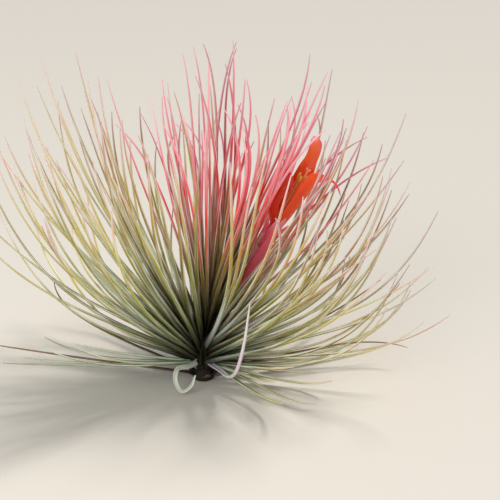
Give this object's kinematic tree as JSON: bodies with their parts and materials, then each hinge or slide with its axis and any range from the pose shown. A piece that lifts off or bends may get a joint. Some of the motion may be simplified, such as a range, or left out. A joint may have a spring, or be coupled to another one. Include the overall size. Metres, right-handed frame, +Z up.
{
  "type": "tillandsia andreana air plant in flower",
  "caption": "Rootless air plant: a dome of thread-fine green leaves round a pink heart and one scarlet flower, resting on a short stem and its lowest leaves.",
  "frame": {"origin": "the middle of the stem's flat foot, on the surface that the plant rests on", "axes": "+Z up, +X to the side that the flower leans to, -Y to the front"},
  "size_m": [0.1956, 0.1978, 0.1406],
  "materials": {
    "dry_stem": "matte",
    "green_leaf": "satin",
    "pink_leaf": "satin",
    "crimson_bract": "satin",
    "scarlet_petal": "satin",
    "yellow_stamen": "matte"
  },
  "bodies": {
    "root": {"stem": "dry_stem", "green_leaves": "green_leaf", "heart_leaves": "pink_leaf", "flower_stalk": "crimson_bract", "petals": "scarlet_petal", "stamens_and_style": "yellow_stamen"}
  },
  "joints": []
}
